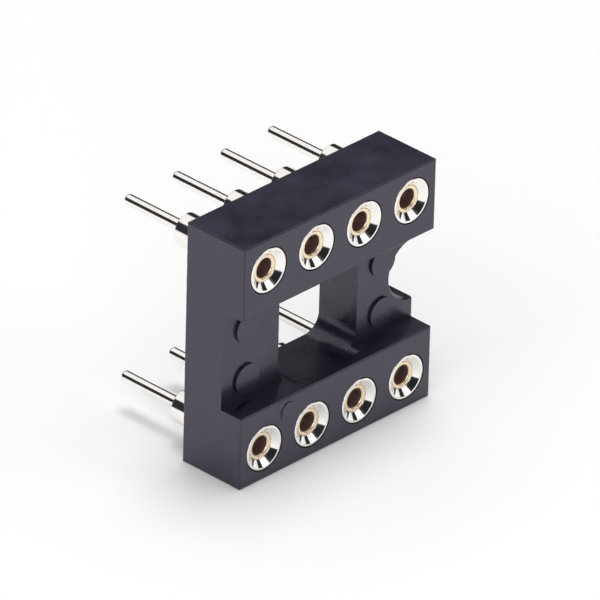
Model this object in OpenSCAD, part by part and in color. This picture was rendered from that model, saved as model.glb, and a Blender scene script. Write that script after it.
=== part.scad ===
// Turned-pin dual in-line socket: a moulded insulator with two rows of turned contacts, each a plated
// sleeve with a solder tail and a four-finger spring clip pressed in its mouth.
// The modules are drawn with the board plane at z = 0, the tails below it and the mouths on top.
// The finished socket stands on one long side, mouths to the front, notch to the right.

/* [Contact grid] */
// Contacts in each row
columns = 4; // [4:1:10]
// Distance between neighbouring contacts in a row
pitch = 2.54; // [2.3:0.01:3]
// Distance between the centre lines of the two rows
row_spacing = 7.62; // [7:0.01:15.24]

/* [Insulator] */
// Thickness of the rails, from the mating face to the underside
body_h = 3.0; // [2.6:0.1:4]
// From a row's centre line to the long outer side
side_margin = 1.33; // [1.15:0.01:1.6]
// From a row's centre line to the channel between the rails
channel_margin = 1.71; // [1.2:0.01:2]
// From the last contact's centre to the end face
end_margin = 1.29; // [1.15:0.01:1.6]
// Length of each cross bar along the rows
bar_l = 3.0; // [2.4:0.1:3.4]
// Depth of the cross bars below the mating face
bar_recess = 1.05; // [0.4:0.05:1.6]
// Corner radius of the centre window
window_r = 0.75; // [0.2:0.05:1]
// How much wider than the channel the window is, on each side
window_relief = 0.14; // [0.05:0.01:0.3]
// Radius of the polarity notch in one cross bar
notch_r = 1.25; // [0.8:0.05:1.6]
// Rounding of the outer edges
edge_r = 0.06; // [0.04:0.01:0.2]
// Chamfer of the notch and of the channel at the front
lip_c = 0.06; // [0.02:0.01:0.1]

/* [Moulding marks] */
// Diameter of the four ejector pads on the cross bars
pad_d = 1.25; // [0.6:0.05:1.4]
// Height of the ejector pads
pad_h = 0.1; // [0.04:0.01:0.2]
// From the centre line to each ejector pad, across the rows
pad_offset = 1.1; // [0.8:0.05:1.2]
// Shift of the pad pattern along the rows, away from the notch
pad_shift_along = 0.2; // [0:0.05:0.3]
// Shift of the pad pattern across the rows
pad_shift_across = 0.15; // [0:0.05:0.3]
// Diameter of the gate mark on the mating face
gate_d = 0.8; // [0.4:0.05:0.9]
// Height of the gate mark
gate_h = 0.03; // [0.02:0.01:0.1]
// From a row's centre line to the gate mark, towards the channel
gate_offset = 1.08; // [0.9:0.02:1.1]

/* [Contact sleeve] */
// Diameter of the head
head_d = 1.83; // [1.7:0.01:2]
// Thickness of the head
head_h = 0.5; // [0.4:0.05:0.8]
// How far the head stands proud of the mating face
head_proud = 0; // [0:0.01:0.1]
// Chamfer on the head's outer edge
head_c = 0.04; // [0.01:0.01:0.08]
// Width of the flat land round the countersunk mouth
land_w = 0.1; // [0.06:0.01:0.16]
// Depth of the countersunk mouth, down to the clip
mouth_depth = 0.21; // [0.1:0.01:0.35]
// Diameter of the barrel and of the shoulder that stands on the board
barrel_d = 1.35; // [1.25:0.01:1.45]
// Shoulder between the insulator's underside and the board
standoff = 1.3; // [0.6:0.05:2]
// Diameter of the solder tail
tail_d = 0.48; // [0.4:0.01:0.6]
// Length of the solder tail below the board plane
tail_l = 3.1; // [2.4:0.1:4.5]
// Chamfer on the tip of the tail
tip_c = 0.08; // [0.02:0.01:0.15]
// Rise of the two barbs that grip the insulator
barb_rise = 0.025; // [0.01:0.005:0.05]
// Length of each barb
barb_l = 0.35; // [0.2:0.05:0.6]

/* [Contact clip] */
// Outside diameter of the clip's ring
clip_d = 1.1; // [0.98:0.01:1.12]
// Thickness of the clip's wall
clip_t = 0.15; // [0.1:0.01:0.16]
// Height of the clip's unslit ring
ring_h = 0.5; // [0.3:0.05:0.8]
// Length of the four fingers
finger_l = 1.5; // [1:0.1:1.8]
// Thickness of the fingers at their tips
finger_t = 0.07; // [0.04:0.01:0.09]
// Opening between the finger tips at rest
tip_gap_d = 0.36; // [0.25:0.01:0.45]
// Width of the slits between the fingers
slit_w = 0.14; // [0.08:0.01:0.18]

/* [Fits] */
// Radial gap round a head in its counterbore
head_gap = 0.04; // [0.02:0.01:0.08]
// Radial gap round a clip's ring in its sleeve
clip_gap = 0.01; // [0.005:0.005:0.02]
// Ledge in the sleeve that carries the clip's ring
clip_ledge = 0.04; // [0.03:0.01:0.06]
// Depth of the sleeve's bore past the finger tips
bore_spare = 0.3; // [0.2:0.05:0.4]

/* [Hidden] */
$fn = 64;
cut = 0.5;
contacts = 2 * columns;
body_l = (columns - 1) * pitch + 2 * end_margin;
body_w = row_spacing + 2 * side_margin;
channel_w = row_spacing - 2 * channel_margin;
window_l = body_l - 2 * bar_l;
underside_z = standoff;
face_z = underside_z + body_h;
bar_z = face_z - bar_recess;
head_z = face_z + head_proud;
front_z = face_z + max(head_proud, gate_h);
seat_z = head_z - head_h;
clip_top_z = head_z - mouth_depth;
ledge_z = clip_top_z - ring_h;
finger_z = ledge_z - finger_l;
bore_end_z = finger_z - bore_spare;
head_r = head_d / 2;
barrel_r = barrel_d / 2;
tail_r = tail_d / 2;
hole_r = barrel_r + barb_rise;
clip_r = clip_d / 2;
clip_bore_r = clip_r - clip_t;
ring_bore_r = clip_r + clip_gap;
finger_bore_r = ring_bore_r - clip_ledge;
finger_root_r = finger_bore_r - clip_gap;
tip_r = tip_gap_d / 2;
// A contact's column, counted from the notch, first along one row and then back along the other
function column(n) = n <= columns ? n - 1 : contacts - n;
function contact_x(n) = ((columns - 1) / 2 - column(n)) * pitch;
function contact_y(n) = (n <= columns ? 1 : -1) * row_spacing / 2;

// Stands the socket on its long side and centres it over the origin
module stood_on_side() {
    translate([0, (front_z - tail_l) / 2, body_w / 2])
        rotate([90, 0, 0])
            children();
}

module at_contact(n) {
    translate([contact_x(n), contact_y(n), 0])
        children();
}

// A rectangle about the origin with round corners
module round_rect(l, w, r) {
    square([l - 2 * r, w], center = true);
    square([l, w - 2 * r], center = true);
    for (x = [-1, 1], y = [-1, 1])
        translate([x * (l / 2 - r), y * (w / 2 - r)])
            circle(r);
}

// A block on the underside's plane, with all twelve edges rounded
module round_block(l, w, h, r) {
    intersection() {
        linear_extrude(h)
            round_rect(l, w, r);
        translate([0, 0, h / 2])
            rotate([90, 0, 0])
                linear_extrude(w, center = true)
                    round_rect(l, h, r);
        translate([0, 0, h / 2])
            rotate([90, 0, 90])
                linear_extrude(l, center = true)
                    round_rect(w, h, r);
    }
}

// The channel's section across the rows, widened by a chamfer at the mating face
module channel_section() {
    half = channel_w / 2;
    polygon([
        [-half, bar_z],
        [half, bar_z],
        [half, face_z - lip_c],
        [half + lip_c + cut, face_z + cut],
        [-half - lip_c - cut, face_z + cut],
        [-half, face_z - lip_c]
    ]);
}

module channel() {
    rotate([90, 0, 90])
        linear_extrude(body_l + 2 * cut, center = true)
            channel_section();
}

// The window between the cross bars, undercut below the middle of the channel's walls
module window() {
    translate([0, 0, underside_z - cut])
        linear_extrude((bar_z + face_z) / 2 - underside_z + cut)
            round_rect(window_l, channel_w + 2 * window_relief, window_r);
}

module notch() {
    translate([body_l / 2, 0, underside_z - cut])
        cylinder(h = body_h + cut, r = notch_r);
    translate([body_l / 2, 0, bar_z - lip_c])
        cylinder(h = 2 * lip_c, r1 = notch_r, r2 = notch_r + 2 * lip_c);
}

module contact_hole() {
    translate([0, 0, underside_z - cut])
        cylinder(h = body_h + cut, r = hole_r);
    translate([0, 0, seat_z])
        cylinder(h = head_h + cut, r = head_r + head_gap);
}

module ejector_pads() {
    bar_x = (body_l - bar_l) / 2;
    for (x = [-1, 1], y = [-1, 1])
        translate([x * bar_x - pad_shift_along, y * pad_offset - pad_shift_across, bar_z - pad_h])
            cylinder(h = 2 * pad_h, d = pad_d);
}

module gate_mark() {
    translate([-(columns - 2) / 2 * pitch, gate_offset - row_spacing / 2, face_z - gate_h])
        cylinder(h = 2 * gate_h, d = gate_d);
}

module insulator_body() {
    color("#46454d")
    stood_on_side() {
        difference() {
            translate([0, 0, underside_z])
                round_block(body_l, body_w, body_h, edge_r);
            channel();
            window();
            notch();
            for (n = [1:contacts])
                at_contact(n)
                    contact_hole();
        }
        ejector_pads();
        gate_mark();
    }
}

// A saw-tooth ring that lets the barrel in and resists its coming out
function barb(z) = [
    [barrel_r, z],
    [hole_r, z + barb_l],
    [barrel_r, z + barb_l]
];

module sleeve_section() {
    barb_pitch = body_h / 4;
    polygon(concat(
        [
            [0, -tail_l],
            [tail_r - tip_c, -tail_l],
            [tail_r, tip_c - tail_l],
            [tail_r, 0],
            [barrel_r, 0]
        ],
        barb(underside_z + barb_pitch),
        barb(underside_z + 2 * barb_pitch),
        [
            [barrel_r, seat_z],
            [head_r, seat_z],
            [head_r, head_z - head_c],
            [head_r - head_c, head_z],
            [head_r - land_w, head_z],
            [ring_bore_r, clip_top_z],
            [ring_bore_r, ledge_z],
            [finger_bore_r, ledge_z],
            [finger_bore_r, bore_end_z],
            [0, bore_end_z - finger_bore_r / 2]
        ]
    ));
}

module contact_sleeve(n) {
    color("#d9d6d0")
    stood_on_side()
        at_contact(n)
            rotate_extrude()
                sleeve_section();
}

module clip_section() {
    polygon([
        [clip_bore_r + clip_t / 2, clip_top_z],
        [clip_r, clip_top_z],
        [clip_r, ledge_z],
        [finger_root_r, ledge_z],
        [tip_r + finger_t, finger_z],
        [tip_r, finger_z],
        [clip_bore_r, ledge_z],
        [clip_bore_r, clip_top_z - clip_t / 2]
    ]);
}

module contact_clip(n) {
    color("#d8b45a")
    stood_on_side()
        at_contact(n)
            difference() {
                rotate_extrude()
                    clip_section();
                for (turn = [0, 90])
                    rotate(turn)
                        translate([-clip_d, -slit_w / 2, finger_z - cut])
                            cube([2 * clip_d, slit_w, finger_l + cut]);
            }
}

insulator_body();
for (n = [1:contacts]) {
    contact_sleeve(n);
    contact_clip(n);
}
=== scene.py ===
"""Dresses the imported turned-pin socket: moulding, plated sleeves, spring clips, studio stage."""
import math

import bpy
import numpy as np
from bpy.props import FloatProperty, FloatVectorProperty, IntProperty, PointerProperty
from mathutils import Euler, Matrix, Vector


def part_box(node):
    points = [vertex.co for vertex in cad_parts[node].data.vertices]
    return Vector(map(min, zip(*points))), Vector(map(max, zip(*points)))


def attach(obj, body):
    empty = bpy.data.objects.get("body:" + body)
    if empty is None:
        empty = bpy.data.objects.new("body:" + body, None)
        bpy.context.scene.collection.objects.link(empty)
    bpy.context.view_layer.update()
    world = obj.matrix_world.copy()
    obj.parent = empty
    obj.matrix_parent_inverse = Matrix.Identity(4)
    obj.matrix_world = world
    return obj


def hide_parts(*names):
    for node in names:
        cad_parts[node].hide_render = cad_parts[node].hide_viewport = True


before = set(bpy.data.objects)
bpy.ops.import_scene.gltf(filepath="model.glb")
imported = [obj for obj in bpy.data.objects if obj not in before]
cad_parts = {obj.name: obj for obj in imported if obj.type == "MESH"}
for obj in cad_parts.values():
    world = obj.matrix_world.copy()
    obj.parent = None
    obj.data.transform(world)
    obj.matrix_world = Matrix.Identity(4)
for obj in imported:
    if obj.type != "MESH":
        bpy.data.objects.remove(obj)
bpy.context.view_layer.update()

bl_info = {
    "name": "Turned-pin socket",
    "version": (1, 0, 0),
    "blender": (4, 5, 0),
    "location": "3D View > Sidebar > Socket",
    "description": "Finishes a dual in-line socket: moulding, sleeves, clips and a studio stage",
    "category": "Object",
}

MM = 0.001
CONTACTS = sorted(int(name.rsplit("_", 1)[1]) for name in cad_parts
                  if name.startswith("contact_sleeve_"))
PANELS = ("key", "fill", "strip", "card")
SENSOR_WIDTH = 36.0
# sockets of a Mix node that mixes colours
MIX_FACTOR, MIX_A, MIX_B, MIX_RESULT = 0, 6, 7, 2


def linear(code):
    """Linear red, green and blue of an sRGB hex colour."""
    part = np.array([int(code[i:i + 2], 16) for i in (1, 3, 5)]) / 255.0
    return tuple(np.where(part <= 0.04045, part / 12.92, ((part + 0.055) / 1.055) ** 2.4))


def size(name, description, millimetres):
    """A length property, kept in metres."""
    return FloatProperty(name=name, description=description, default=millimetres * MM,
                         unit="LENGTH", precision=6)


def colour(name, description, code):
    """A colour property from an sRGB hex value."""
    return FloatVectorProperty(name=name, description=description, default=linear(code),
                               subtype="COLOR")


def place(name, description, millimetres):
    """A place property, kept in metres."""
    return FloatVectorProperty(name=name, description=description, precision=6, unit="LENGTH",
                               default=tuple(v * MM for v in millimetres), subtype="TRANSLATION")


def span(name, description, millimetres):
    """A width and a height, kept in metres."""
    return FloatVectorProperty(name=name, description=description, size=2, unit="LENGTH",
                               default=tuple(v * MM for v in millimetres))


def angle(name, description, degrees):
    """An angle property, kept in radians."""
    return FloatProperty(name=name, description=description, default=math.radians(degrees),
                         subtype="ANGLE")


def factor(name, description, value):
    """A property from 0 to 1."""
    return FloatProperty(name=name, description=description, default=value, min=0, max=1,
                         subtype="FACTOR")


def amount(name, description, value):
    """A plain number from 0 up, such as a radiance, where 1 is white."""
    return FloatProperty(name=name, description=description, default=value, min=0)


def count(name, description, value):
    """A whole number of steps round a turned piece."""
    return IntProperty(name=name, description=description, default=value, min=24)


class SocketSleeve(bpy.types.PropertyGroup):
    """Sizes of the turned sleeve; its place, length and head radius come from the frame"""
    head_height: size("Head height", "Thickness of the head", 0.5)
    land: size("Land", "Width of the flat ring round the mouth", 0.1)
    mouth_depth: size("Mouth depth", "Depth of the countersink, down to the clip", 0.21)
    clip_seat: size("Clip seat", "Radius of the bore that holds the clip's ring", 0.56)
    clip_depth: size("Clip depth", "From the face to the ledge under the clip's ring", 0.71)
    bore: size("Bore", "Radius of the bore round the fingers", 0.52)
    bore_depth: size("Bore depth", "From the face to the end of the bore", 2.51)
    barrel: size("Barrel", "Radius of the barrel and shoulder", 0.675)
    barb: size("Barb", "Rise of the barbs", 0.025)
    barb_start: size("Barb start", "From the face to the step of the first barb", 1.15)
    barb_length: size("Barb length", "Length of each barb", 0.35)
    barb_pitch: size("Barb pitch", "From one barb to the next", 0.75)
    shoulder_end: size("Shoulder end", "From the face to the end of the shoulder", 4.3)
    tail: size("Tail", "Radius of the solder tail", 0.24)
    tip: size("Tip", "Rounding of the tail's tip", 0.11)
    rim: size("Rim", "Rounding of the head's rim and of the shoulder's end", 0.04)
    corner: size("Corner", "Rounding of the other corners that show", 0.02)
    hidden: size("Hidden corner", "Rounding of the corners in the bore and under the head", 0.01)
    edge: size("Barb edge", "Rounding of the barbs' edges", 0.004)
    turns: count("Turns", "Steps round each sleeve", 128)


class SocketClip(bpy.types.PropertyGroup):
    """Sizes of the spring clip"""
    ring: size("Ring", "Outside radius of the ring", 0.55)
    wall: size("Wall", "Wall of the ring, with its rolled lip", 0.16)
    lip: size("Lip", "Rounding of the lip at the mouth", 0.09)
    rim: size("Rim", "Rounding of the ring's outer edge at the mouth", 0.02)
    heel: size("Heel", "Rounding of the ring's outer edge at the ledge", 0.01)
    crook: size("Crook", "Rounding of the ring's inner edge at the fingers", 0.005)
    height: size("Height", "Height of the unslit ring", 0.5)
    root: size("Root", "Outside radius of the fingers under the ring", 0.51)
    length: size("Length", "Length of the fingers", 1.5)
    tip: size("Tip", "Radius of the opening between the finger tips", 0.18)
    tip_wall: size("Tip wall", "Thickness of the fingers at their tips", 0.07)
    slit: size("Slit", "Width of the slits between the fingers", 0.14)
    crease: angle("Crease", "Angle between faces past which an edge is sharp", 40)
    turns: count("Turns", "Steps round each ring", 96)


class SocketFinish(bpy.types.PropertyGroup):
    """Colours and gloss of the materials"""
    plastic_dark: colour("Plastic, dark", "Darker clouds of the moulding", "#0E0E1A")
    plastic_light: colour("Plastic, light", "Lighter clouds of the moulding", "#212032")
    plastic_gloss: factor("Plastic roughness", "Satin of the moulded skin", 0.3)
    plastic_sheen: colour("Plastic sheen", "Tint of the moulded skin's gloss", "#F1E8FF")
    plastic_ior: amount("Plastic IOR", "Refraction of the moulded skin", 1.69)
    plate_warm: colour("Plate, warm", "Tin plate where the brass tints it", "#F6F0E8")
    plate_cold: colour("Plate, cold", "Tin plate where it is thick", "#FBFAF9")
    plate_gloss: factor("Plate roughness", "Polish of the plate", 0.09)
    gold_deep: colour("Gold, deep", "Gold in the drawn streaks", "#EBD3A6")
    gold_pale: colour("Gold, pale", "Gold between the streaks", "#FBF0DC")
    # the fingers' colour down the bore is partly painted shade: darker and pinker than the gold
    # above, so that the inside of the hole looks dim
    gold_thin_shaded: colour("Gold, thin", "Thin gold on the fingers, tinted by the copper", "#E0C5C3")
    gold_gloss: factor("Gold roughness", "Satin of the drawn spring", 0.24)
    gold_dull: factor("Gold's dulling", "How much rougher the gold is where it is thin", 0.15)
    # gold_full and gold_end bound the painted shade down the bore, as well as the thinner plate
    gold_full: size("Full gold", "Depth behind the mouth down to which the gold is full", 0.06)
    gold_end: size("Thin gold", "Depth behind the mouth from which the gold is thin", 0.26)


class SocketStage(bpy.types.PropertyGroup):
    """Floor, light and camera"""
    floor: colour("Floor", "Colour of the table", "#FBFBFB")
    table: size("Table", "Half the length of the table's sides", 3000)
    wall: amount("Walls", "Radiance of the light tent's walls", 0.82)
    lean: factor("Lean", "How much brighter the tent is at its bright side", 0.31)
    lean_turn: angle("Lean's turn", "Turn of the bright side, from the right to the back", 106)
    roof: amount("Roof", "Radiance of the tent's roof, round the key", 0.12)
    room: colour("Room", "Dark room below the tent's walls", "#28292E")
    far_edge: angle("Far edge", "Height angle up to which the table's far end shows", 1.6)
    far_light: amount("Far light", "Light on the table's far end", 0.88)
    tent_low: angle("Tent's lower edge", "Height angle at which the walls start", 35)
    tent_high: angle("Tent's upper edge", "Height angle at which the walls end", 59)
    low_blur: factor("Lower blur", "Half the lower edge's blur, in sines of height", 0.012)
    high_blur: factor("Upper blur", "Half the upper edge's blur, in sines of height", 0.03)
    rise: factor("Rise", "How much higher the walls hang at the tent's raised side", 0.13)
    rise_turn: angle("Rise's turn", "Turn of the raised side, from the right to the back", 135)
    key_place: place("Key's place", "Middle of the panel overhead", (105, 56, 600))
    key_size: span("Key's size", "Width and height of the panel overhead", (265, 305))
    key: amount("Key", "Radiance of the panel overhead", 7.05)
    fill_place: place("Fill's place", "Middle of the panel at the camera's left", (-406, -157, 246))
    fill_size: span("Fill's size", "Width and height of the panel at the left", (737, 364))
    fill: amount("Fill", "Radiance of the panel at the left", 1.66)
    strip_place: place("Strip's place", "Middle of the panel in front, to the right",
                       (277, -427, 318))
    strip_size: span("Strip's size", "Width and height of the panel in front", (300, 170))
    strip: amount("Strip", "Radiance of the panel in front", 1.6)
    card_place: place("Card's place", "Middle of the low white card at the right", (586, -103, 73))
    card_size: span("Card's size", "Width and height of the low white card", (500, 147))
    card: amount("Card", "Radiance of the low white card", 0.85)
    target: place("Target", "Point that the camera looks at", (0.7205, -1.0026, 4.7817))
    turn: FloatVectorProperty(name="Turn", description="Camera's rotation", subtype="EULER",
                              default=np.radians((60.1209, -1.331, -45.6726)).tolist())
    distance: size("Distance", "From the camera to its target", 421.83)
    near: size("Near", "Distance from which the camera sees", 10)
    lens: amount("Lens", "Focal length in millimetres on a 36 mm frame", 675.1)


def add(tree, kind, values=None, links=None, **settings):
    """Adds a node, sets its attributes and input values, and links output sockets to its inputs."""
    node = tree.nodes.new(kind)
    for name, value in settings.items():
        setattr(node, name, value)
    for socket, value in (values or {}).items():
        node.inputs[socket].default_value = value
    for socket, output in (links or {}).items():
        tree.links.new(output, node.inputs[socket])
    return node


def start_material(name):
    """A new material with an empty node tree."""
    material = bpy.data.materials.new(name)
    material.use_nodes = True
    material.node_tree.nodes.clear()
    return material, material.node_tree


def glass_filled_polyester(finish):
    """Black glass-filled polyester, injection moulded.

    To the eye it is a satin blue-black, faintly cloudy where the melt flowed, with a fine dull
    grain where fibres lie at the skin."""
    # the fibres' grain is 0.01 mm and is drawn 0.07 mm wide so that it shows
    cloud_width, grain_width = 1.6 * MM, 0.07 * MM
    cloud_depth, grain_depth, bump = 0.012 * MM, 0.004 * MM, 0.3
    cloud_range, cloud_satin, grain_satin = (0.3, 0.7), 0.08, 0.06
    material, tree = start_material("glass_filled_polyester")
    point = add(tree, "ShaderNodeTexCoord").outputs["Object"]
    cloud = add(tree, "ShaderNodeTexNoise", {"Scale": 1 / cloud_width, "Detail": 3.0},
                {"Vector": point}).outputs["Fac"]
    grain = add(tree, "ShaderNodeTexNoise", {"Scale": 1 / grain_width, "Detail": 4.0},
                {"Vector": point}).outputs["Fac"]
    tint = add(tree, "ShaderNodeMix",
               {MIX_A: (*finish.plastic_dark, 1), MIX_B: (*finish.plastic_light, 1)},
               {MIX_FACTOR: cloud}, data_type="RGBA")
    satin = add(tree, "ShaderNodeMapRange",
                {"From Min": cloud_range[0], "From Max": cloud_range[1],
                 "To Min": finish.plastic_gloss - cloud_satin,
                 "To Max": finish.plastic_gloss + cloud_satin}, {"Value": cloud})
    speck = add(tree, "ShaderNodeMapRange", {"To Min": -grain_satin, "To Max": grain_satin},
                {"Value": grain})
    gloss = add(tree, "ShaderNodeMath", None,
                {0: satin.outputs["Result"], 1: speck.outputs["Result"]}, operation="ADD")
    skin = add(tree, "ShaderNodeBump", {"Strength": bump, "Distance": grain_depth},
               {"Height": grain})
    sink = add(tree, "ShaderNodeBump", {"Strength": bump, "Distance": cloud_depth},
               {"Height": cloud, "Normal": skin.outputs["Normal"]})
    plastic = add(tree, "ShaderNodeBsdfPrincipled",
                  {"IOR": finish.plastic_ior, "Specular Tint": (*finish.plastic_sheen, 1)},
                  {"Base Color": tint.outputs[MIX_RESULT], "Roughness": gloss.outputs["Value"],
                   "Normal": sink.outputs["Normal"]})
    add(tree, "ShaderNodeOutputMaterial", None, {"Surface": plastic.outputs["BSDF"]})
    return material


def bright_tin_plate(finish):
    """Bright tin plate over brass that was turned from bar.

    To the eye it is a near mirror, warm where the tin over the brass is thinnest, with faint rings
    from the turning tool."""
    # tool marks 0.02 mm apart are drawn 0.06 mm apart so that they show
    mark_width, mark_depth, marks_round, bump = 0.06 * MM, 0.002 * MM, 3.0, 0.1
    haze_width, haze_polish, haze_dull = 0.4 * MM, 0.03, 0.04
    material, tree = start_material("bright_tin_plate")
    point = add(tree, "ShaderNodeTexCoord").outputs["Object"]
    turned = add(tree, "ShaderNodeUVMap", uv_map="turned").outputs["UV"]
    along = add(tree, "ShaderNodeMapping", {"Scale": (marks_round, 1 / mark_width, 1.0)},
                {"Vector": turned})
    tool = add(tree, "ShaderNodeTexNoise", {"Scale": 1.0, "Detail": 2.0},
               {"Vector": along.outputs["Vector"]})
    haze = add(tree, "ShaderNodeTexNoise", {"Scale": 1 / haze_width, "Detail": 3.0},
               {"Vector": point}).outputs["Fac"]
    tint = add(tree, "ShaderNodeMix",
               {MIX_A: (*finish.plate_warm, 1), MIX_B: (*finish.plate_cold, 1)},
               {MIX_FACTOR: haze}, data_type="RGBA")
    gloss = add(tree, "ShaderNodeMapRange",
                {"To Min": finish.plate_gloss - haze_polish,
                 "To Max": finish.plate_gloss + haze_dull}, {"Value": haze})
    rings = add(tree, "ShaderNodeBump", {"Strength": bump, "Distance": mark_depth},
                {"Height": tool.outputs["Fac"]})
    plate = add(tree, "ShaderNodeBsdfPrincipled", {"Metallic": 1.0},
                {"Base Color": tint.outputs[MIX_RESULT], "Roughness": gloss.outputs["Result"],
                 "Normal": rings.outputs["Normal"]})
    add(tree, "ShaderNodeOutputMaterial", None, {"Surface": plate.outputs["BSDF"]})
    return material


def gold_plated_spring(finish, top):
    """Gold plate over beryllium copper, drawn into a cup and slit, with its mouth at y = top.

    To the eye it is a pale satin gold, streaked along the fingers by the drawing, and coppery down
    the bore where less gold is plated. That coppery colour is partly painted shade: it is darker
    and pinker than the gold above, and stands in for the dim inside of the hole."""
    streak_width, streak_length = 0.05 * MM, 0.5 * MM
    streak_polish, streak_dull = 0.05, 0.08
    material, tree = start_material("gold_plated_spring")
    point = add(tree, "ShaderNodeTexCoord").outputs["Object"]
    drawn = add(tree, "ShaderNodeMapping",
                {"Scale": (1 / streak_width, 1 / streak_length, 1 / streak_width)},
                {"Vector": point})
    streak = add(tree, "ShaderNodeTexNoise", {"Scale": 1.0, "Detail": 3.0},
                 {"Vector": drawn.outputs["Vector"]}).outputs["Fac"]
    tint = add(tree, "ShaderNodeMix",
               {MIX_A: (*finish.gold_deep, 1), MIX_B: (*finish.gold_pale, 1)},
               {MIX_FACTOR: streak}, data_type="RGBA")
    depth = add(tree, "ShaderNodeSeparateXYZ", None, {"Vector": point}).outputs["Y"]
    # mask from 0 near the mouth to 1 deeper in: thinner gold, and the painted shade of the hole
    thinner_and_shaded = add(tree, "ShaderNodeMapRange",
               {"From Min": top + finish.gold_full, "From Max": top + finish.gold_end},
               {"Value": depth}).outputs["Result"]
    # painted shade: down the bore the gold turns darker and pinker, for the thinner plate and for
    # the dim inside of the hole
    bore_gold_shaded = add(tree, "ShaderNodeMix", {MIX_B: (*finish.gold_thin_shaded, 1)},
               {MIX_FACTOR: thinner_and_shaded, MIX_A: tint.outputs[MIX_RESULT]}, data_type="RGBA")
    gloss = add(tree, "ShaderNodeMapRange",
                {"To Min": finish.gold_gloss - streak_polish,
                 "To Max": finish.gold_gloss + streak_dull}, {"Value": streak})
    dull = add(tree, "ShaderNodeMath", {1: finish.gold_dull},
               {0: thinner_and_shaded, 2: gloss.outputs["Result"]}, operation="MULTIPLY_ADD")
    gold = add(tree, "ShaderNodeBsdfPrincipled", {"Metallic": 1.0},
               {"Base Color": bore_gold_shaded.outputs[MIX_RESULT], "Roughness": dull.outputs["Value"]})
    add(tree, "ShaderNodeOutputMaterial", None, {"Surface": gold.outputs["BSDF"]})
    return material


def white_card(stage):
    """Matt white card for the table: it takes the shadows and gives no glare."""
    material, tree = start_material("white_card")
    card = add(tree, "ShaderNodeBsdfPrincipled",
               {"Base Color": (*stage.floor, 1), "Roughness": 0.95, "Specular IOR Level": 0.0})
    add(tree, "ShaderNodeOutputMaterial", None, {"Surface": card.outputs["BSDF"]})
    return material


def rounded(corners, steps=6):
    """Points and outward normals of a profile of (radius, y, rounding) corners.

    Each corner becomes an arc that touches both its edges. With t the turn at a corner, the arc
    starts rounding * tan(t / 2) before it, and its normals turn by t. The outside is to the left of
    the direction of travel. The two ends stay, with their edges' normals."""
    corners = np.asarray(corners, float)
    corners, rounding = corners[:, :2], corners[:, 2]
    edge = np.diff(corners, axis=0)
    edge /= np.linalg.norm(edge, axis=1)[:, None]
    out = np.stack([-edge[:, 1], edge[:, 0]], 1)
    points, normals = [corners[:1]], [out[:1]]
    for i in range(1, len(corners) - 1):
        a, b, first = edge[i - 1], edge[i], out[i - 1]
        turn = math.atan2(a[0] * b[1] - a[1] * b[0], a @ b)
        side = math.copysign(1.0, turn)
        start = corners[i] - a * rounding[i] * math.tan(abs(turn) / 2)
        sweep = np.linspace(0, turn, steps)[:, None]
        normal = first * np.cos(sweep) + np.array([-first[1], first[0]]) * np.sin(sweep)
        points.append(start + (first - normal) * rounding[i] * side)
        normals.append(normal)
    return np.concatenate(points + [corners[-1:]]), np.concatenate(normals + [out[-1:]])


def revolve(profile, normals, centre, turns):
    """Grid of a profile turned about a line along y: x and z are centre + radius * (cos t, sin t).

    Rows follow the profile and columns the angle t. Gives the vertices, the faces, the vertex
    normals and, for each face corner, its turn (0 to 1) and its length along the profile."""
    t = np.arange(turns) * 2 * np.pi / turns
    ring = np.stack([np.cos(t), np.zeros(turns), np.sin(t)], 1)
    axis = np.array([0.0, 1.0, 0.0])
    middle = np.array([centre[0], 0.0, centre[1]])
    vertices = middle + profile[:, :1, None] * ring + profile[:, 1:, None] * axis
    normal = normals[:, :1, None] * ring + normals[:, 1:, None] * axis
    step = np.linalg.norm(np.diff(profile, axis=0), axis=1)
    length = np.concatenate([[0], np.cumsum(step)])
    i, j = np.meshgrid(np.arange(len(profile) - 1), np.arange(turns), indexing="ij")
    around = ((i, j), (i, j + 1), (i + 1, j + 1), (i + 1, j))
    faces = np.stack([row * turns + column % turns for row, column in around], -1)
    uv = np.stack([np.stack([column / turns, length[row]], -1) for row, column in around], 2)
    return (vertices.reshape(-1, 3), faces.reshape(-1, 4), normal.reshape(-1, 3),
            uv.astype(np.float32).reshape(-1, 4, 2))


def new_object(name, vertices, faces, material):
    """A smooth mesh object at the origin, from an array of vertices and a list of faces."""
    mesh = bpy.data.meshes.new(name)
    mesh.from_pydata(vertices.tolist(), [], faces)
    mesh.shade_smooth()
    mesh.materials.append(material)
    piece = bpy.data.objects.new(name, mesh)
    bpy.context.scene.collection.objects.link(piece)
    return piece


def turned_piece(name, corners, centre, turns, material):
    """A lathe-turned piece whose profile starts and ends on the axis, with exact normals.

    The first and the last ring each shrink to one vertex, and the faces beside them to triangles,
    which closes both poles."""
    profile, normals = rounded(corners)
    vertices, faces, normal, uv = revolve(profile, normals, centre, turns)
    kept = slice(turns - 1, len(vertices) - turns + 1)
    remap = np.arange(len(vertices)) - (turns - 1)
    faces = remap.clip(0, len(vertices) - 2 * turns + 1)[faces]
    bands = np.s_[:turns, 1:], np.s_[turns:-turns], np.s_[-turns:, :3]
    start, middle, end = (faces[band].tolist() for band in bands)
    piece = new_object(name, vertices[kept], start + middle + end, material)
    layer = piece.data.uv_layers.new(name="turned")
    layer.data.foreach_set("uv", np.concatenate([uv[band].ravel() for band in bands]))
    piece.data.normals_split_custom_set_from_vertices(normal[kept].tolist())
    return piece


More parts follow.
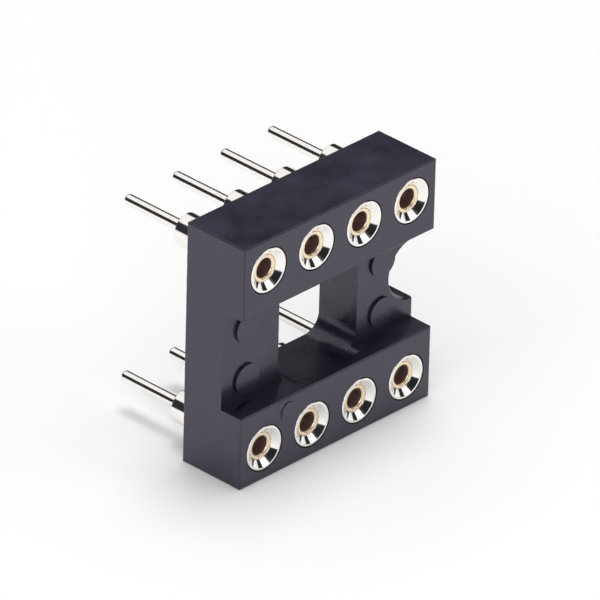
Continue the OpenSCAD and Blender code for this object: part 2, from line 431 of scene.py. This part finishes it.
def spring_clip(name, centre, top, clip, material, rows=10, steps=12):
    """A ring turned about the contact's axis and four fingers carried along it.

    The ring's profile is closed, and its inner edge is rolled. A finger's section at depth d is a
    sector between two arcs whose radii go straight from the ring's to the tip's, and whose ends lie
    half a slit from the planes between the fingers."""
    bore, ledge = clip.ring - clip.wall, top + clip.height
    corners = [(clip.root, ledge, 0), (clip.ring, ledge, clip.heel), (clip.ring, top, clip.rim),
               (bore, top, clip.lip), (bore, ledge, clip.crook), (clip.root, ledge, 0)]
    profile, normals = rounded(corners)
    vertices, faces, _, _ = revolve(profile[:-1], normals[:-1], centre, clip.turns)
    last = len(vertices) - clip.turns
    j = np.arange(clip.turns)
    k = (j + 1) % clip.turns
    parts, sides = [vertices], [faces, np.stack([last + j, last + k, k, j], 1)]

    depth = np.linspace(0, 1, rows)[:, None]
    outer = clip.root + (clip.tip + clip.tip_wall - clip.root) * depth
    inner = bore + (clip.tip - bore) * depth
    across = np.linspace(-1, 1, steps)
    columns = 2 * steps
    radius = np.concatenate([outer + 0 * across, inner + 0 * across], 1)
    i, j = np.meshgrid(np.arange(rows - 1), np.arange(columns), indexing="ij")
    k = (j + 1) % columns
    wall = np.stack([i * columns + j, (i + 1) * columns + j, (i + 1) * columns + k,
                     i * columns + k], -1).reshape(-1, 4)
    m = np.arange(steps - 1)
    root = np.stack([m, m + 1, columns - 2 - m, columns - 1 - m], -1)
    finger = np.concatenate([wall, root, root[:, ::-1] + (rows - 1) * columns])
    reach = [across * (np.pi / 4 - np.arcsin(clip.slit / 2 / arc)) for arc in (outer, inner)]
    for quarter in range(4):
        middle = (quarter + 0.5) * np.pi / 2
        turn = np.concatenate([middle + reach[0], middle - reach[1]], 1)
        grid = np.stack([centre[0] + radius * np.cos(turn),
                         ledge + clip.length * depth + 0 * turn,
                         centre[1] + radius * np.sin(turn)], -1)
        parts.append(grid.reshape(-1, 3))
        sides.append(finger + len(vertices) + quarter * rows * columns)
    piece = new_object(name, np.concatenate(parts), np.concatenate(sides).tolist(), material)
    piece.data.set_sharp_from_angle(angle=clip.crease)
    return piece


def contact_place(number):
    """Axis (x, z), face, tip and head radius of a contact, from its sleeve's box."""
    low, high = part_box(f"contact_sleeve_{number}")
    axis = (low[0] + high[0]) / 2, (low[2] + high[2]) / 2
    return axis, low[1], high[1], (high[0] - low[0]) / 2


def sleeve_corners(sleeve, face, tip, head):
    """Corners (radius, y, rounding) of a sleeve, from the tail's tip over the head to the bore."""
    under, shoulder = face + sleeve.head_height, face + sleeve.shoulder_end
    ledge, end = face + sleeve.clip_depth, face + sleeve.bore_depth
    first = face + sleeve.barb_start
    barbs = []
    for step in (first + sleeve.barb_pitch, first):
        barbs += [(sleeve.barrel, step + sleeve.barb_length, sleeve.edge),
                  (sleeve.barrel + sleeve.barb, step, sleeve.edge),
                  (sleeve.barrel, step, sleeve.edge)]
    return [
        (0, tip, 0),
        (sleeve.tail, tip, sleeve.tip),
        (sleeve.tail, shoulder, sleeve.corner),
        (sleeve.barrel, shoulder, sleeve.rim),
        *barbs,
        (sleeve.barrel, under, sleeve.hidden),
        (head, under, sleeve.corner),
        (head, face, sleeve.rim),
        (head - sleeve.land, face, sleeve.corner),
        (sleeve.clip_seat, face + sleeve.mouth_depth, sleeve.corner),
        (sleeve.clip_seat, ledge, sleeve.hidden),
        (sleeve.bore, ledge, sleeve.hidden),
        (sleeve.bore, end, sleeve.hidden),
        (0, end + sleeve.bore / 2, 0),
    ]


class SOCKET_OT_finish_moulding(bpy.types.Operator):
    """Gives the moulding its glass-filled polyester"""
    bl_idname = "socket.finish_moulding"
    bl_label = "Finish the moulding"

    def execute(self, context):
        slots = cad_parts["insulator_body"].material_slots
        if not slots:
            raise RuntimeError("the moulding has no material slot")
        material = glass_filled_polyester(context.scene.socket_finish)
        for slot in slots:
            slot.material = material
        return {"FINISHED"}


class SOCKET_OT_turn_sleeves(bpy.types.Operator):
    """Turns the plated sleeves, each with tail, shoulder, barbed barrel, head and mouth"""
    bl_idname = "socket.turn_sleeves"
    bl_label = "Turn the sleeves"

    def execute(self, context):
        if not CONTACTS:
            raise RuntimeError("the frame has no contact sleeve")
        sleeve = context.scene.socket_sleeve
        material = bright_tin_plate(context.scene.socket_finish)
        for number in CONTACTS:
            centre, face, tip, head = contact_place(number)
            corners = sleeve_corners(sleeve, face, tip, head)
            piece = turned_piece(f"sleeve_{number}", corners, centre, sleeve.turns, material)
            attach(piece, "root")
            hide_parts(f"contact_sleeve_{number}")
        return {"FINISHED"}


class SOCKET_OT_form_clips(bpy.types.Operator):
    """Forms the four-finger spring clips in the sleeves' mouths"""
    bl_idname = "socket.form_clips"
    bl_label = "Form the clips"

    def execute(self, context):
        scene = context.scene
        top = contact_place(CONTACTS[0])[1] + scene.socket_sleeve.mouth_depth
        material = gold_plated_spring(scene.socket_finish, top)
        for number in CONTACTS:
            centre = contact_place(number)[0]
            piece = spring_clip(f"clip_{number}", centre, top, scene.socket_clip, material)
            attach(piece, "root")
            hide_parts(f"contact_clip_{number}")
        return {"FINISHED"}


def light_tent(stage):
    """World of a light tent: the table's far end, a dark room, bright walls and a dim roof.

    The ramp runs over the upright part of the direction, which is the sine of the height angle,
    less the rise times the direction's part towards the raised side. The strength is 1 plus the
    lean times the direction's part towards the bright side."""
    world = bpy.data.worlds.new("light_tent")
    world.use_nodes = True
    tree = world.node_tree
    tree.nodes.clear()
    direction = add(tree, "ShaderNodeTexCoord").outputs["Generated"]
    height = add(tree, "ShaderNodeSeparateXYZ", None, {"Vector": direction}).outputs["Z"]
    toward = []
    for share, turn in ((stage.rise, stage.rise_turn), (stage.lean, stage.lean_turn)):
        side = Vector((math.cos(turn), math.sin(turn), 0)) * share
        toward.append(add(tree, "ShaderNodeVectorMath", {1: side}, {0: direction},
                          operation="DOT_PRODUCT").outputs["Value"])
    raised = add(tree, "ShaderNodeMath", {1: 0.0}, {0: toward[0]}, operation="MAXIMUM")
    level = add(tree, "ShaderNodeMath", None, {0: height, 1: raised.outputs["Value"]},
                operation="SUBTRACT")
    ramp = add(tree, "ShaderNodeValToRGB", None, {"Fac": level.outputs["Value"]})
    low, high = math.sin(stage.tent_low), math.sin(stage.tent_high)
    wall, roof = (stage.wall,) * 3, (stage.roof,) * 3
    stops = [(low - stage.low_blur, stage.room), (low + stage.low_blur, wall),
             (high - stage.high_blur, wall), (high + stage.high_blur, roof)]
    elements = ramp.color_ramp.elements
    for i, (position, shade) in enumerate(stops):
        stop = elements[i] if i < len(elements) else elements.new(position)
        stop.position = position
        stop.color = (*shade, 1)
    strength = add(tree, "ShaderNodeMath", {1: 1.0}, {0: toward[1]}, operation="ADD")
    sky = add(tree, "ShaderNodeBackground", None,
              {"Color": ramp.outputs["Color"], "Strength": strength.outputs["Value"]})
    table = add(tree, "ShaderNodeBackground",
                {"Color": (*stage.floor, 1), "Strength": stage.far_light})
    far = add(tree, "ShaderNodeMath", {1: math.sin(stage.far_edge)}, {0: height},
              operation="LESS_THAN")
    both = add(tree, "ShaderNodeMixShader", None,
               {0: far.outputs["Value"], 1: sky.outputs["Background"],
                2: table.outputs["Background"]})
    add(tree, "ShaderNodeOutputWorld", None, {"Surface": both.outputs["Shader"]})
    return world


def hang_panel(name, middle, extent, radiance):
    """An even light panel that faces the origin; its power is radiance * pi * area."""
    light = bpy.data.lights.new(name, "AREA")
    light.shape = "RECTANGLE"
    light.size, light.size_y = extent
    light.energy = radiance * math.pi * light.size * light.size_y
    lamp = bpy.data.objects.new(name, light)
    lamp.location = middle
    lamp.rotation_euler = Vector(middle).to_track_quat("Z", "Y").to_euler()
    bpy.context.scene.collection.objects.link(lamp)


class SOCKET_OT_set_stage(bpy.types.Operator):
    """Lays the table, hangs the light tent and its panels, and sets the camera"""
    bl_idname = "socket.set_stage"
    bl_label = "Set the stage"

    def execute(self, context):
        scene = context.scene
        stage = scene.socket_stage
        scene.view_settings.view_transform = "Standard"
        scene.world = light_tent(stage)

        corners = np.array([(-1, -1, 0), (1, -1, 0), (1, 1, 0), (-1, 1, 0)]) * stage.table
        new_object("table", corners, [(0, 1, 2, 3)], white_card(stage))

        for name in PANELS:
            hang_panel(name, getattr(stage, f"{name}_place"), getattr(stage, f"{name}_size"),
                       getattr(stage, name))

        camera = bpy.data.cameras.new("camera")
        camera.sensor_width = SENSOR_WIDTH
        camera.lens = stage.lens
        camera.clip_start = stage.near
        viewer = bpy.data.objects.new("camera", camera)
        turn = Euler(stage.turn)
        viewer.rotation_euler = turn
        viewer.location = Vector(stage.target) + turn.to_matrix() @ Vector((0, 0, stage.distance))
        scene.collection.objects.link(viewer)
        scene.camera = viewer
        return {"FINISHED"}


OPERATORS = (SOCKET_OT_finish_moulding, SOCKET_OT_turn_sleeves, SOCKET_OT_form_clips,
             SOCKET_OT_set_stage)


class SOCKET_PT_steps(bpy.types.Panel):
    """Lists the steps that finish the socket"""
    bl_idname = "SOCKET_PT_steps"
    bl_label = "Socket"
    bl_space_type = "VIEW_3D"
    bl_region_type = "UI"
    bl_category = "Socket"

    def draw(self, context):
        for operator in OPERATORS:
            self.layout.operator(operator.bl_idname)


GROUPS = {"socket_sleeve": SocketSleeve, "socket_clip": SocketClip,
          "socket_finish": SocketFinish, "socket_stage": SocketStage}
CLASSES = (*GROUPS.values(), *OPERATORS, SOCKET_PT_steps)


def register():
    """Registers the classes and gives the scene its groups of sizes and colours."""
    for item in CLASSES:
        bpy.utils.register_class(item)
    for name, group in GROUPS.items():
        setattr(bpy.types.Scene, name, PointerProperty(type=group))


def unregister():
    """Takes the groups and the classes away again."""
    for name in GROUPS:
        delattr(bpy.types.Scene, name)
    for item in reversed(CLASSES):
        bpy.utils.unregister_class(item)


def main():
    register()
    bpy.ops.socket.finish_moulding()
    bpy.ops.socket.turn_sleeves()
    bpy.ops.socket.form_clips()
    bpy.ops.socket.set_stage()


if __name__ == "__main__":
    main()
